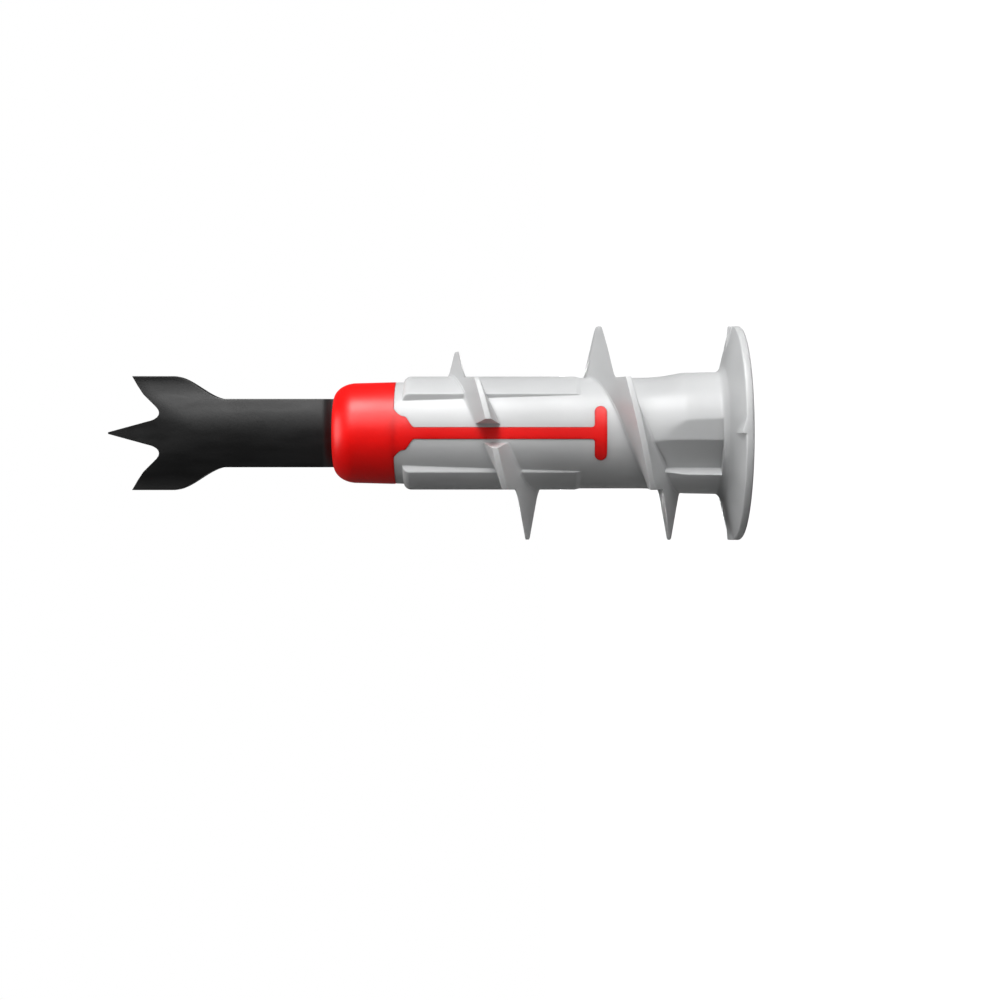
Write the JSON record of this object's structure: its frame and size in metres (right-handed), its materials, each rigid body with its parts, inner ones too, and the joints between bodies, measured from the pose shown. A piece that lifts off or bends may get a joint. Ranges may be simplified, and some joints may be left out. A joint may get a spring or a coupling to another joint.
{
  "type": "self-drilling plasterboard plug",
  "caption": "Self-drilling plug for plasterboard: hard body with flange head and coarse thread, soft moulded-in insert with a collar, and a flat cutting tip.",
  "frame": {"origin": "centre of the outer face of the head, which the plug stands on", "axes": "+Z along the plug from the head to the tip; the blade and the two ribs lie across X; the two inlays face -Y and +Y, the way the mould opens"},
  "size_m": [0.0148, 0.0148, 0.0437],
  "materials": {
    "hard_plastic": "moulded light grey polyamide, satin",
    "soft_plastic": "moulded red soft plastic, satin",
    "filled_plastic": "moulded black glass-filled polyamide, matt"
  },
  "bodies": {
    "root": {"plug_body": "hard_plastic", "soft_insert": "soft_plastic", "blade_tip": "filled_plastic"}
  },
  "joints": []
}
